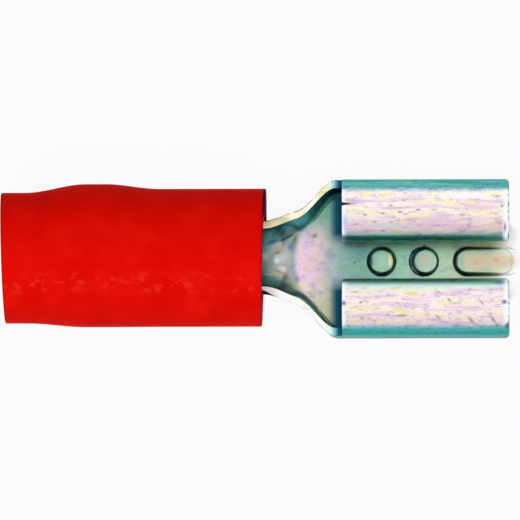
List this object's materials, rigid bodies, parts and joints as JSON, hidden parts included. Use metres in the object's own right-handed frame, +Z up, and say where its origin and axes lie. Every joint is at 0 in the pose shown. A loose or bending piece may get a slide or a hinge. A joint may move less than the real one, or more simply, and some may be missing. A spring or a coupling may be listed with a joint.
{
  "type": "female spade terminal",
  "caption": "Red vinyl-insulated female spade terminal: rolled receptacle for a flat tab, open neck and a wire barrel to be crimped.",
  "frame": {"origin": "middle of the surface that the terminal lies on, under the middle of its box", "axes": "+X towards the tab's mouth, +Z up, +Y to the left of the mouth; the terminal lies nose down by 5.79 degrees"},
  "size_m": [0.0196, 0.006, 0.006],
  "materials": {
    "tinned_brass": "satin",
    "tinned_sleeve": "satin",
    "red_vinyl": "satin"
  },
  "bodies": {
    "root": {"terminal_body": "tinned_brass", "grip_sleeve": "tinned_sleeve", "insulating_sleeve": "red_vinyl"}
  },
  "joints": []
}
